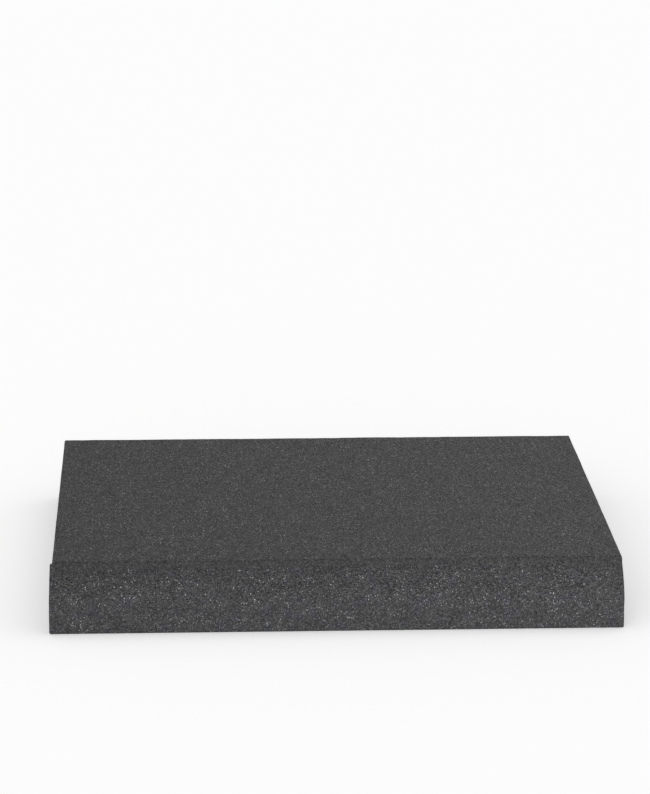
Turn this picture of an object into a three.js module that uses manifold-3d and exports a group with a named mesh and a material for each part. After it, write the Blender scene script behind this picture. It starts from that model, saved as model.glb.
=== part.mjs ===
// Speaker isolation pad: one block of cut charcoal foam, in millimetres, +Z up.
// Its front faces -Y, its width runs along X, and the origin is under the middle of the pad.

import * as THREE from 'three';
import { mergeVertices } from 'three/addons/utils/BufferGeometryUtils.js';
import Module from 'manifold-3d';

// Overall size
const width = 400;
const depth = 348;
const height = 46.5;

// Front edge: an upright wall, a rounded slope that leans back, and a low upright lip at the top
const frontWallHeight = 21;
const slopeDepth = 17.5;
const lipHeight = 3.4;
const lipLean = 0.5;

// Roundness of the slope: how far it keeps the direction that it has at its foot and at its head
const slopeFootReach = 7.5;
const slopeHeadRun = 6;
const slopeHeadRise = 4.5;

// Crease between the lip and the flat top
const creaseWidth = 1.6;
const creaseFloorWidth = 0.6;
const creaseDepth = 1.8;
const lipDrop = 0.6;

// Left end: the front edge stands out this far past the block behind it
const leftStep = 2;

// Rounding of the long cut edges, and how finely the curves are divided
const edgeRadius = 1.2;
const curveSteps = 8;

// How far a cutting tool runs past the foam
const cutMargin = 5;

// Positions worked out from the sizes
const front = -depth / 2;
const back = depth / 2;
const lipTop = height - lipDrop;
const slopeTop = lipTop - lipHeight;
const lipBack = front + slopeDepth + lipLean;
const creaseMiddle = lipBack + creaseWidth / 2;
const creaseFloor = height - creaseDepth;
const topStart = lipBack + creaseWidth;

const wasm = await Module();
wasm.setup();

// Section across the pad, with Y to the right and Z up
function sideSection() {
    const outline = new THREE.Shape();
    outline.moveTo(front + edgeRadius, 0);
    outline.absarc(back - edgeRadius, edgeRadius, edgeRadius, -Math.PI / 2, 0, false);
    outline.absarc(back - edgeRadius, height - edgeRadius, edgeRadius, 0, Math.PI / 2, false);
    outline.lineTo(topStart, height);
    outline.lineTo(creaseMiddle + creaseFloorWidth / 2, creaseFloor);
    outline.lineTo(creaseMiddle - creaseFloorWidth / 2, creaseFloor);
    outline.lineTo(lipBack, lipTop);
    outline.lineTo(front + slopeDepth, slopeTop);
    outline.bezierCurveTo(
        front + slopeDepth - slopeHeadRun, slopeTop - slopeHeadRise,
        front, frontWallHeight + slopeFootReach,
        front, frontWallHeight,
    );
    outline.absarc(front + edgeRadius, edgeRadius, edgeRadius, Math.PI, Math.PI * 1.5, false);
    return outline;
}

// The section drawn out along the whole width
function fullWidthBlock() {
    const geometry = new THREE.ExtrudeGeometry(sideSection(), {
        depth: width,
        steps: 1,
        bevelEnabled: false,
        curveSegments: curveSteps,
    });
    const alongY = new THREE.Vector3(0, 1, 0);
    const alongZ = new THREE.Vector3(0, 0, 1);
    const alongX = new THREE.Vector3(1, 0, 0);
    geometry.applyMatrix4(new THREE.Matrix4().makeBasis(alongY, alongZ, alongX));
    geometry.translate(-width / 2, 0, 0);
    return geometry;
}

// The strip trimmed off the left side behind the crease, which leaves the step in that end
function leftTrim() {
    const across = leftStep + cutMargin;
    const along = back - creaseMiddle + cutMargin;
    const up = height + 2 * cutMargin;
    const geometry = new THREE.BoxGeometry(across, along, up);
    geometry.translate(
        -width / 2 + leftStep - across / 2,
        creaseMiddle + along / 2,
        height / 2,
    );
    return geometry;
}

// A closed geometry as a solid that can be cut
function toSolid(geometry) {
    const bare = geometry.clone();
    bare.deleteAttribute('normal');
    bare.deleteAttribute('uv');
    const merged = mergeVertices(bare);
    return new wasm.Manifold(new wasm.Mesh({
        numProp: 3,
        vertProperties: new Float32Array(merged.attributes.position.array),
        triVerts: new Uint32Array(merged.index.array),
    }));
}

// A solid back as a geometry
function toGeometry(solid) {
    const mesh = solid.getMesh();
    const geometry = new THREE.BufferGeometry();
    geometry.setAttribute('position', new THREE.BufferAttribute(mesh.vertProperties, 3));
    geometry.setIndex(new THREE.BufferAttribute(mesh.triVerts, 1));
    geometry.computeVertexNormals();
    return geometry;
}

// The pad itself
function foamPad() {
    const solid = toSolid(fullWidthBlock()).subtract(toSolid(leftTrim()));
    const charcoalFoam = new THREE.MeshStandardMaterial({ color: 0x4a4a4c, roughness: 0.95, metalness: 0 });
    const mesh = new THREE.Mesh(toGeometry(solid), charcoalFoam);
    mesh.name = 'foam_pad';
    return mesh;
}

const pad = new THREE.Group();
pad.name = 'speaker_isolation_pad';
pad.add(foamPad());

export default pad;
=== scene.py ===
"""Looks of a speaker isolation pad: one block of cut charcoal foam, in metres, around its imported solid."""

import math

import bpy
import numpy as np
from mathutils import Matrix, Vector, noise


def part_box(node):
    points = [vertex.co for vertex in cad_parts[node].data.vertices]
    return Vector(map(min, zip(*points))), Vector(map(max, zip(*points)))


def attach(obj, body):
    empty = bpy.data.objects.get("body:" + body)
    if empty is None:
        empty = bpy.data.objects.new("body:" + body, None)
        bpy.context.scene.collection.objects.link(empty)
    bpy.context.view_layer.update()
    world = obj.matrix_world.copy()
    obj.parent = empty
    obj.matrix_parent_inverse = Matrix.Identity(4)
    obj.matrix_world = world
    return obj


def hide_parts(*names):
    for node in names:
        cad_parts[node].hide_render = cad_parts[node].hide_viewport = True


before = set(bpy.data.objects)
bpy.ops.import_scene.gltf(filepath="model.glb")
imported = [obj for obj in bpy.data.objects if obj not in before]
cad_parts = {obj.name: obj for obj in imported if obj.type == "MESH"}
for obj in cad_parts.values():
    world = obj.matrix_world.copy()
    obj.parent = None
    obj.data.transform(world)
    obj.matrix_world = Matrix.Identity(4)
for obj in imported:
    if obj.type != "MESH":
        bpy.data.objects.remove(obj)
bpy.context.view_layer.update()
MM = 0.001

# Outer faces of the pad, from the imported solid
PAD_LOW, PAD_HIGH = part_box("foam_pad")
LEFT, RIGHT = PAD_LOW.x, PAD_HIGH.x
FRONT, BACK = PAD_LOW.y, PAD_HIGH.y
DEPTH = BACK - FRONT
HEIGHT = PAD_HIGH.z

# Front edge, as in the solid: upright wall, rounded slope, low upright lip
WALL_HEIGHT = 21 * MM
SLOPE_DEPTH = 17.5 * MM
SLOPE_FOOT_REACH = 7.5 * MM
SLOPE_HEAD_RUN = 6 * MM
SLOPE_HEAD_RISE = 4.5 * MM
SLOPE_SAMPLES = 200
LIP_HEIGHT = 3.4 * MM
LIP_LEAN = 0.5 * MM
LIP_DROP = 0.6 * MM
LIP_TOP = HEIGHT - LIP_DROP
LIP_FOOT = LIP_TOP - LIP_HEIGHT
LIP_BACK = SLOPE_DEPTH + LIP_LEAN

# Crease behind the lip
CREASE_WIDTH = 1.6 * MM
CREASE_FLOOR = 0.6 * MM
CREASE_DEPTH = 1.8 * MM
CREASE_MIDDLE = LIP_BACK + CREASE_WIDTH / 2
TOP_START = LIP_BACK + CREASE_WIDTH

# Left end: the front edge stands out past the block behind it, and leans in a little towards its top.
# Both fade away from the end, the faster the higher the power.
LEFT_STEP = 2 * MM
STEP_SOFTNESS = 0.5 * MM
LEFT_TAPER = 0.5 * MM
END_FADE_POWER = 8

# Fineness of the mesh, and the columns that round an edge, as shares of its radius
EDGE_ROUND = 1.1 * MM
ROUND_SHARES = np.array([0, 0.55, 1])
ROUND_CELLS = len(ROUND_SHARES) - 1
ACROSS_PITCH = 1.45 * MM
DEPTH_PITCH = 2.3 * MM
FRONT_PITCH = 1.12 * MM

# Columns between the front and the crease, as shares of the way, and at the step, as shares of its softness
NOSE_SHARES = (0.25, 0.5)
STEP_SHARES = (-1, -1 / 3, 1 / 3)

# Unevenness of the cut foam: wavelength and height of each layer of noise, calmer beside the crease
WAVES = ((34 * MM, 0.16 * MM), (9 * MM, 0.07 * MM), (3.2 * MM, 0.05 * MM))
CREASE_CALM_REACH = 3 * MM
CREASE_CALM = 0.25

# Smooth band along the lip: its strength at each set-back, and how far its lower edge wanders
BAND_SET_BACKS = (0, 15.8 * MM, 17.3 * MM)
BAND_SHARES = (0, 0.06, 1)
BAND_WAVE_LENGTH = 26 * MM
BAND_WAVE = 1.0 * MM

# The band is wider near both ends: by how much, and from where to where that grows, measured from the end
BAND_END_GROWTH = 3 * MM
BAND_END_REACH = (24 * MM, 36 * MM)

# From where to where the slope's own grain sets in, the front's marks end inside the crease, and the
# crease's painted shade and calmer grain fade beside its middle
SLOPE_GRAIN_HEIGHTS = (WALL_HEIGHT, WALL_HEIGHT + 8 * MM)
FRONT_END = (CREASE_MIDDLE - CREASE_WIDTH / 4, CREASE_MIDDLE + CREASE_WIDTH / 4)
CREASE_TONE_REACH = (0, 0.7 * CREASE_WIDTH)

# Shade along the front, by set-back: none on the wall and most just below the lip
SHADE_SET_BACKS = (0, 3.3 * MM, 11 * MM, 13.5 * MM, 15.5 * MM, 17.5 * MM)
FRONT_SHADES = (0, 0.10, 0.10, 0.16, 0.18, 0.07)

# How far a surface may face sideways before these marks fade, and where they are gone
SIDE_FACING = (0.5, 0.9)


def slope_point(t):
    """A point of the rounded slope, as set-back and height, for t from 0 at its foot to 1 at its head."""
    foot = np.array([0, WALL_HEIGHT])
    foot_pull = np.array([0, WALL_HEIGHT + SLOPE_FOOT_REACH])
    head = np.array([SLOPE_DEPTH, LIP_FOOT])
    head_pull = head - np.array([SLOPE_HEAD_RUN, SLOPE_HEAD_RISE])
    u = 1 - t
    return u**3 * foot + 3 * u * u * t * foot_pull + 3 * u * t * t * head_pull + t**3 * head


def even_stations(low, high, pitch):
    """Places from low to high at an even pitch, with the finer columns of a rounded edge at both ends."""
    ends = EDGE_ROUND * ROUND_SHARES
    count = round((high - low - 2 * EDGE_ROUND) / pitch)
    middle = np.linspace(low + EDGE_ROUND, high - EDGE_ROUND, count + 1)[1:-1]
    return np.concatenate([low + ends, middle, high - ends[::-1]])


def front_rows():
    """Set-backs and heights of the mesh's rows up the front, evenly spaced along its outline."""
    outline = [np.array([0, 0]), np.array([0, WALL_HEIGHT])]
    outline += [slope_point(t) for t in np.linspace(0, 1, SLOPE_SAMPLES)[1:]]
    outline += [np.array([LIP_BACK, LIP_TOP])]
    outline = np.array(outline)
    steps = np.linalg.norm(np.diff(outline, axis=0), axis=1)
    run = np.concatenate([[0], np.cumsum(steps)])
    stations = even_stations(0, run[-1], FRONT_PITCH)
    return np.interp(stations, run, outline[:, 0]), np.interp(stations, run, outline[:, 1])


def depth_stations():
    """Distances of the mesh's columns behind the front wall, measured along the underside."""
    nose = [*(EDGE_ROUND * ROUND_SHARES), *(share * CREASE_MIDDLE for share in NOSE_SHARES)]
    floor_start = CREASE_MIDDLE * (1 - CREASE_FLOOR / CREASE_WIDTH)
    step = [CREASE_MIDDLE + share * STEP_SOFTNESS for share in STEP_SHARES]
    crease = [floor_start, *step, CREASE_MIDDLE + CREASE_FLOOR / 2, TOP_START]
    block = even_stations(TOP_START, DEPTH, DEPTH_PITCH)[ROUND_CELLS:]
    return np.concatenate([nose, crease, block])


def round_edges(points, low, high, radius):
    """Pulls the points of a plain box's surface onto the same box with rounded edges."""
    inner = np.clip(points, low + radius, high - radius)
    away = points - inner
    length = np.linalg.norm(away, axis=1, keepdims=True)
    return inner + away / length * radius


def shape_points(box_points, set_backs, heights):
    """Bends a plain rounded box into the pad: front slope, lip, crease and left step."""
    x, along, up = box_points.T
    before = along < CREASE_MIDDLE
    share = along / CREASE_MIDDLE
    set_back = np.interp(up * LIP_TOP / HEIGHT, heights, set_backs)
    y = np.where(before, set_back + share * (CREASE_MIDDLE - set_back), along)

    over_top = np.where(before, LIP_BACK + share * (CREASE_MIDDLE - LIP_BACK), along)
    half_floor = CREASE_FLOOR / 2
    crease_y = [LIP_BACK, CREASE_MIDDLE - half_floor, CREASE_MIDDLE + half_floor, TOP_START]
    crease_z = [LIP_TOP, HEIGHT - CREASE_DEPTH, HEIGHT - CREASE_DEPTH, HEIGHT]
    z = up / HEIGHT * np.interp(over_top, crease_y, crease_z)

    behind = np.interp(along, (CREASE_MIDDLE - STEP_SOFTNESS, CREASE_MIDDLE + STEP_SOFTNESS), (0, 1))
    leaning = np.interp(z, (WALL_HEIGHT, LIP_TOP), (0, 1))
    near_left = np.clip(x / LEFT, 0, 1) ** END_FADE_POWER
    x = x + near_left * (LEFT_STEP * behind + LEFT_TAPER * leaning * (1 - behind))
    return np.stack([x, FRONT + y, z], axis=1)


def lattice_faces(ids, flip):
    """Quads over a 2-D array of vertex numbers, where all four corners are in use."""
    a, b, c, d = ids[:-1, :-1], ids[1:, :-1], ids[1:, 1:], ids[:-1, 1:]
    quads = np.stack([a, b, c, d], axis=-1).reshape(-1, 4)
    quads = quads[quads.min(axis=1) >= 0]
    return quads[:, ::-1] if flip else quads


def pad_mesh():
    """The pad's mesh: a box's surface lattice, rounded and bent into shape, on one flat face."""
    set_backs, heights = front_rows()
    across = even_stations(LEFT, RIGHT, ACROSS_PITCH)
    along = depth_stations()
    up = heights * HEIGHT / LIP_TOP
    nx, ny, nz = len(across) - 1, len(along) - 1, len(up) - 1
    i, j, k = np.meshgrid(range(nx + 1), range(ny + 1), range(nz + 1), indexing="ij")
    rim = ROUND_CELLS
    outside = (i == 0) | (i == nx) | (j == 0) | (j == ny) | (k == nz)
    outside |= (k == 0) & ((i <= rim) | (i >= nx - rim) | (j <= rim) | (j >= ny - rim))
    ids = np.full(outside.shape, -1)
    ids[outside] = np.arange(outside.sum())
    box_points = np.stack([across[i[outside]], along[j[outside]], up[k[outside]]], axis=1)
    low = np.array([LEFT, 0, 0])
    high = np.array([RIGHT, DEPTH, HEIGHT])
    points = shape_points(round_edges(box_points, low, high, EDGE_ROUND), set_backs, heights)

    sides = [
        lattice_faces(ids[:, 0, :], False),
        lattice_faces(ids[:, ny, :], True),
        lattice_faces(ids[0], True),
        lattice_faces(ids[nx], False),
        lattice_faces(ids[:, :, nz], False),
        lattice_faces(ids[:, :, 0], True),
    ]
    faces = np.concatenate(sides).tolist()
    inner = ids[rim : nx - rim + 1, rim : ny - rim + 1, 0]
    loop = [*inner[:, 0], *inner[-1, 1:], *inner[-2::-1, -1], *inner[0, -2:0:-1]]
    faces.append([int(v) for v in reversed(loop)])
    mesh = bpy.data.meshes.new("foam_block")
    mesh.from_pydata(points.tolist(), [], faces)
    mesh.update()
    mesh.shade_smooth()
    return mesh


def read_points(mesh):
    """The mesh's points and their normals, one to a row."""
    points = np.empty(len(mesh.vertices) * 3)
    normals = np.empty(len(mesh.vertices) * 3)
    mesh.vertices.foreach_get("co", points)
    mesh.vertex_normals.foreach_get("vector", normals)
    return points.reshape(-1, 3), normals.reshape(-1, 3)


def roughen(mesh):
    """Moves the points by layers of noise along their normals, but leaves the underside flat."""
    points, normals = read_points(mesh)
    push = np.zeros(len(points))
    for wavelength, swing in WAVES:
        push += swing * np.array([noise.noise(p) for p in (points / wavelength).tolist()])
    clear_of_floor = np.clip(points[:, 2] / (2 * EDGE_ROUND), 0, 1)
    from_crease = np.abs(points[:, 1] - FRONT - CREASE_MIDDLE) / CREASE_CALM_REACH
    push *= clear_of_floor * np.clip(from_crease, CREASE_CALM, 1)
    points += normals * push[:, None]
    points[:, 2] = np.maximum(points[:, 2], 0)
    mesh.vertices.foreach_set("co", points.ravel())
    mesh.update()


def write_attribute(mesh, name, values):
    attribute = mesh.attributes.new(name, "FLOAT", "POINT")
    attribute.data.foreach_set("value", values)


def mark_front(mesh):
    """Writes each point's share of the lip's smooth band, the slope and the crease, and its shade."""
    points, normals = read_points(mesh)
    x, y, z = points.T
    set_back = y - FRONT
    wave = BAND_WAVE * np.array([noise.noise((v, 0, 0)) for v in (x / BAND_WAVE_LENGTH).tolist()])
    growth = BAND_END_GROWTH * np.interp(RIGHT - np.abs(x), BAND_END_REACH, (1, 0))
    off_sides = np.interp(np.abs(normals[:, 0]), SIDE_FACING, (1, 0))
    front = np.interp(set_back, FRONT_END, (1, 0)) * off_sides
    band = np.interp(set_back + wave + growth, BAND_SET_BACKS, BAND_SHARES)
    slope = np.interp(z, SLOPE_GRAIN_HEIGHTS, (0, 1))
    shade = np.interp(set_back, SHADE_SET_BACKS, FRONT_SHADES)
    crease = np.interp(np.abs(set_back - CREASE_MIDDLE), CREASE_TONE_REACH, (1, 0))
    write_attribute(mesh, "lip_band", band * front)
    write_attribute(mesh, "slope", slope * front)
    write_attribute(mesh, "front_shade", shade * front)
    write_attribute(mesh, "crease", crease * off_sides)


class Graph:
    """A node tree, with short ways to add and join nodes."""

    def __init__(self, owner):
        owner.use_nodes = True
        self.nodes = owner.node_tree.nodes
        self.links = owner.node_tree.links

    def put(self, socket, value):
        if isinstance(value, bpy.types.NodeSocket):
            self.links.new(value, socket)
        else:
            socket.default_value = value

    def add(self, kind, settings=None, **inputs):
        node = self.nodes.new("ShaderNode" + kind)
        for key, value in (settings or {}).items():
            setattr(node, key, value)
        for key, value in inputs.items():
            self.put(node.inputs[key.replace("_", " ")], value)
        return node

    def math(self, operation, first, second=0.0, third=0.0, clamp=False):
        node = self.add("Math", {"operation": operation, "use_clamp": clamp})
        for socket, value in zip(node.inputs, (first, second, third)):
            self.put(socket, value)
        return node.outputs[0]

    def product(self, *factors):
        result = factors[0]
        for factor in factors[1:]:
            result = self.math("MULTIPLY", result, factor)
        return result

    def span(self, value, low, high, to_low=0.0, to_high=1.0, smooth=False):
        """Maps low to to_low and high to to_high, and stays between the two."""
        node = self.add("MapRange", {"interpolation_type": "SMOOTHSTEP" if smooth else "LINEAR"})
        for socket, v in zip(node.inputs, (value, low, high, to_low, to_high)):
            self.put(socket, v)
        return node.outputs[0]

    def fade(self, share, first, second):
        """Goes from the first value to the second as the share goes from 0 to 1."""
        return self.span(share, 0, 1, first, second)

    def mix(self, factor, first, second, blend="MIX"):
        node = self.add("Mix", {"data_type": "RGBA", "blend_type": blend})
        for name, value in (("Factor_Float", factor), ("A_Color", first), ("B_Color", second)):
            socket = next(s for s in node.inputs if s.identifier == name)
            self.put(socket, value)
        return node.outputs[2]

    def mark(self, name):
        return self.add("Attribute", {"attribute_name": name}).outputs["Fac"]

    def seen(self):
        """1 for rays that come from the camera, straight or by a reflection or glass, and otherwise 0."""
        rays = self.add("LightPath").outputs
        shown = self.math("MAXIMUM", rays["Is Camera Ray"], rays["Is Glossy Ray"])
        return self.math("MAXIMUM", shown, rays["Is Transmission Ray"])


# Foam colours, as linear red, green and blue
SHADE = (0.012, 0.012, 0.012, 1)
# A pale colour for painted glints: highlights mixed into the foam's colour
GLINT = (0.79, 0.79, 0.80, 1)
NO_TINT = (1, 1, 1, 1)
COOL_TINT = (0.97, 0.97, 1.09, 1)

# Sizes of the foam's cells, of their relief and of the cells that may hold a glint
CELL_SIZE = 0.56 * MM
CELL_DEPTH = 0.4 * MM
GLINT_CELL = 0.9 * MM

# Slow noises, as size and detail, and the values that most of a noise lies between
CLUSTER = (2.0 * MM, 1.0)
PATCH = (11 * MM, 3.0)
TINT = (9 * MM, 2.0)
NOISE_RANGE = (0.3, 0.7)

# Cell tones: the greys that they stand for, how strongly they lean to the dark end, and their contrast.
# The even contrast and drift hold in the band and in the crease, where the crease's contrast comes on top.
CELL_TONES = (-0.12, 1.1)
CELL_GREYS = (0.0265, 0.147)
CELL_SKEW = 2.0
CELL_MEAN = 1 / (1 + CELL_SKEW)
WALL_CONTRAST = 1.0
SLOPE_CONTRAST = 1.33
# On the top the contrast is raised to stand for deeper pore shadows seen at a grazing angle: painted shade
TOP_CONTRAST = 1.8
EVEN_CONTRAST = 0.78
CREASE_CONTRAST = 0.5

# Slow drifts of the tone, their factors on the slope and where it is even, and painted light from left to
# right
CLUSTER_DRIFT = 0.08
SLOPE_DRIFT = 1.4
PATCH_DRIFT = 0.05
EVEN_DRIFT = 0.35
PAINTED_SIDE_LIGHT = (0.91, 1.09)

# Share of the top's and the crease's colour that is shade, and how far below its face the top's tone sets in
# and is full
TOP_SHADE = 0.10
CREASE_SHADE = 0.13
TOP_TONE_DEPTHS = (1.2 * MM, 0.6 * MM)

# Values of the slow noise between which a cool patch sets in
TINT_DRAW = (0.50, 0.68)

# Painted glints, pale highlight specks in the colour: which cells have one, how wide it is in its cell, and
# how rare the bright ones are
GLINT_DRAW = (0.76, 0.82)
GLINT_CORE = (0.45, 0.22)
GLINT_SKEW = 3.8

# Strength of the glints between and in their loose groups, and at some places of the pad
GROUP_RANGE = (0.38, 0.62)
GROUP_STRENGTHS = (0.6, 1.4)
GLINT_ON_SLOPE = 1.1
GLINT_ON_TOP = 1.1
GLINT_AT_ENDS = 0.5
GLINT_END_REACH = (18 * MM, 4 * MM)

# Gloss, and relief: its strength, and what a cell's round form and its own draw add to its height
FOAM_ROUGHNESS = 0.93
GLINT_ROUGHNESS = 0.5
FOAM_SPECULAR = 0.1
BUMP_STRENGTH = 0.35
FORM_RELIEF = 0.6
DRAW_RELIEF = 0.4


class FoamInputs:
    """What the foam's tone, tint and glints are made from: its patterns and its marked places."""

    def __init__(self, g):
        self.place = g.add("TexCoord").outputs["Object"]
        self.band = g.mark("lip_band")
        self.slope = g.mark("slope")
        self.crease = g.mark("crease")
        self.front_shade = g.mark("front_shade")
        self.even = g.math("MAXIMUM", self.band, self.crease)
        self.uneven = g.math("SUBTRACT", 1.0, self.even)
        spot = g.add("SeparateXYZ", None, Vector=self.place).outputs
        self.across = spot["X"]
        self.on_top = g.span(spot["Z"], *(HEIGHT - depth for depth in TOP_TONE_DEPTHS))
        self.patch = self.noise(g, *PATCH)
        self.cells = g.add("TexVoronoi", {"feature": "F1"}, Vector=self.place, Scale=1 / CELL_SIZE)
        self.lot = g.add("SeparateColor", None, Color=self.cells.outputs["Color"]).outputs[0]

    def noise(self, g, size, detail):
        node = g.add("TexNoise", None, Vector=self.place, Scale=1 / size, Detail=detail)
        return node.outputs["Fac"]


def cell_colour(g, foam):
    """Dark pores and paler cell walls, which drift a little in tone, under painted light from left to right.
    """
    spread = g.math("SUBTRACT", g.math("POWER", foam.lot, CELL_SKEW), CELL_MEAN)
    contrast = g.fade(foam.slope, WALL_CONTRAST, SLOPE_CONTRAST)
    # Painted pore shade: a higher contrast on the top
    contrast = g.fade(foam.on_top, contrast, TOP_CONTRAST)
    calm = g.product(g.fade(foam.even, 1, EVEN_CONTRAST), g.fade(foam.crease, 1, CREASE_CONTRAST))
    cell = g.math("MULTIPLY_ADD", spread, g.product(contrast, calm), CELL_MEAN)
    cluster = g.span(foam.noise(g, *CLUSTER), *NOISE_RANGE, -CLUSTER_DRIFT, CLUSTER_DRIFT)
    patch = g.span(foam.patch, *NOISE_RANGE, -PATCH_DRIFT, PATCH_DRIFT)
    by_place = g.product(g.fade(foam.slope, 1, SLOPE_DRIFT), g.fade(foam.even, 1, EVEN_DRIFT))
    drift = g.product(g.math("ADD", cluster, patch), by_place)
    grey = g.span(g.math("ADD", cell, drift), *CELL_TONES, *CELL_GREYS)
    # Painted light: the colour is darker at the left end and lighter at the right
    return g.product(grey, g.span(foam.across, LEFT, RIGHT, *PAINTED_SIDE_LIGHT))


def cool_share(g, foam):
    """Faint cool patches, which the band, the crease and the top don't have."""
    patches = g.span(foam.noise(g, *TINT), *TINT_DRAW, smooth=True)
    return g.product(patches, foam.uneven, g.math("SUBTRACT", 1.0, foam.on_top))


def glint_share(g, foam):
    """Scattered small painted glints, in loose groups, which the band and the crease don't have."""
    spots = g.add("TexVoronoi", {"feature": "F1"}, Vector=foam.place, Scale=1 / GLINT_CELL).outputs
    draw = g.add("SeparateColor", None, Color=spots["Color"]).outputs
    chosen = g.span(draw[0], *GLINT_DRAW)
    core = g.span(spots["Distance"], *GLINT_CORE)
    strength = g.math("POWER", draw[1], GLINT_SKEW)
    groups = g.span(foam.patch, *GROUP_RANGE, *GROUP_STRENGTHS)
    by_place = g.fade(foam.slope, 1, GLINT_ON_SLOPE)
    by_place = g.fade(foam.on_top, by_place, GLINT_ON_TOP)
    end_span = [RIGHT - reach for reach in GLINT_END_REACH]
    at_ends = g.span(g.math("ABSOLUTE", foam.across), *end_span, 1, GLINT_AT_ENDS)
    share = g.product(chosen, core, strength, foam.uneven, groups, by_place)
    return g.math("MULTIPLY", share, at_ends, clamp=True)


def new_material(name):
    material = bpy.data.materials.new(name)
    g = Graph(material)
    return material, g, g.nodes["Principled BSDF"].inputs


def foam_material():
    """Fine-celled charcoal foam with scattered painted glints, painted shade below the lip, and smoother
    along it.
    """
    material, g, shader = new_material("charcoal_foam")
    foam = FoamInputs(g)
    glint = glint_share(g, foam)
    colour = cell_colour(g, foam)
    hue = g.mix(cool_share(g, foam), NO_TINT, COOL_TINT)
    colour = g.mix(1.0, colour, hue, "MULTIPLY")
    # Painted highlights: the glints are pale specks mixed into the colour
    colour = g.mix(glint, colour, GLINT)
    # Painted shade: along the front, on the top and in the crease
    on_top = g.math("MULTIPLY", foam.on_top, TOP_SHADE)
    in_crease = g.math("MULTIPLY", foam.crease, CREASE_SHADE)
    for share in (foam.front_shade, on_top, in_crease):
        colour = g.mix(share, colour, SHADE)
    drawn = g.math("MULTIPLY", foam.lot, DRAW_RELIEF)
    pores = g.math("MULTIPLY_ADD", foam.cells.outputs["Distance"], FORM_RELIEF, drawn)
    bump = g.add("Bump", None, Strength=BUMP_STRENGTH, Distance=CELL_DEPTH, Height=pores)
    g.put(shader["Base Color"], colour)
    # Where the glints are, the foam is also less rough, so they shine a little for real as well
    g.put(shader["Roughness"], g.fade(glint, FOAM_ROUGHNESS, GLINT_ROUGHNESS))
    g.put(shader["Specular IOR Level"], FOAM_SPECULAR)
    g.put(shader["Normal"], bump.outputs["Normal"])
    return material


def make_pad():
    mesh = pad_mesh()
    roughen(mesh)
    mark_front(mesh)
    mesh.materials.append(foam_material())
    pad = bpy.data.objects.new("foam_block", mesh)
    bpy.context.scene.collection.objects.link(pad)
    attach(pad, "root")
    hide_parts("foam_pad")


# Camera, as in the photograph. The sensor is in millimetres, as Blender has it.
LONG_SIDE_PX = 794
FOCAL_PX = 3492
SENSOR_WIDTH = 36
CLIP_START = 0.05
CLIP_END = 100
CAMERA_PLACE = Vector((-0.1148, FRONT - 2.3096, 0.7553))
CAMERA_AIM = Vector((-0.0092, FRONT, 0.1680))
CAMERA_UP = Vector((0.0090, 0.2462, 0.9692))


def make_camera():
    data = bpy.data.cameras.new("camera")
    data.sensor_width = SENSOR_WIDTH
    data.lens = FOCAL_PX / LONG_SIDE_PX * SENSOR_WIDTH
    data.clip_start = CLIP_START
    data.clip_end = CLIP_END
    camera = bpy.data.objects.new("camera", data)
    bpy.context.scene.collection.objects.link(camera)
    back = (CAMERA_PLACE - CAMERA_AIM).normalized()
    side = CAMERA_UP.cross(back).normalized()
    up = back.cross(side)
    turn = Matrix((side, up, back)).transposed()
    camera.matrix_world = Matrix.Translation(CAMERA_PLACE) @ turn.to_4x4()
    bpy.context.scene.camera = camera


# Floor and light levels
FLOOR_SIZE = 40
FLOOR_DROP = 0.1 * MM
FLOOR_TONE = (0.87, 0.87, 0.87, 1)
FLOOR_LIFT = 0.25
WHITE = (1, 1, 1, 1)
SKY_LEVEL = 0.6


def make_floor():
    """A plain pale floor, which keeps the pad's shadow and is a little lifted where the camera sees it."""
    material, g, shader = new_material("pale_floor")
    g.put(shader["Base Color"], FLOOR_TONE)
    g.put(shader["Roughness"], 1.0)
    g.put(shader["Specular IOR Level"], 0.0)
    g.put(shader["Emission Color"], WHITE)
    g.put(shader["Emission Strength"], g.math("MULTIPLY", g.seen(), FLOOR_LIFT))
    half = FLOOR_SIZE / 2
    mesh = bpy.data.meshes.new("floor")
    corners = [(-half, -half, 0), (half, -half, 0), (half, half, 0), (-half, half, 0)]
    mesh.from_pydata(corners, [], [(0, 1, 2, 3)])
    mesh.materials.append(material)
    floor = bpy.data.objects.new("floor", mesh)
    floor.location.z = -FLOOR_DROP
    bpy.context.scene.collection.objects.link(floor)


def make_sky():
    """Even soft light from all round, and plain white where it is seen past the floor."""
    world = bpy.data.worlds.new("studio")
    bpy.context.scene.world = world
    g = Graph(world)
    background = g.nodes["Background"].inputs
    g.put(background["Color"], WHITE)
    g.put(background["Strength"], g.fade(g.seen(), SKY_LEVEL, 1))


def make_softbox(name, azimuth, elevation, spread, strength):
    """A distant soft light. Azimuth 0 shines along +Y and 90 along -X; angles are in degrees."""
    data = bpy.data.lights.new(name, "SUN")
    data.energy = strength
    data.angle = math.radians(spread)
    lamp = bpy.data.objects.new(name, data)
    around, above = math.radians(azimuth), math.radians(elevation)
    level = math.cos(above)
    toward = Vector((math.sin(around) * level, -math.cos(around) * level, math.sin(above)))
    lamp.rotation_euler = toward.to_track_quat("Z", "Y").to_euler()
    bpy.context.scene.collection.objects.link(lamp)


def make_lights():
    make_softbox("front_softbox", azimuth=-14, elevation=20, spread=50, strength=1.18)
    make_softbox("top_softbox", azimuth=150, elevation=72, spread=60, strength=0.34)


bpy.context.scene.view_settings.view_transform = "Standard"
make_camera()
make_floor()
make_sky()
make_lights()
make_pad()
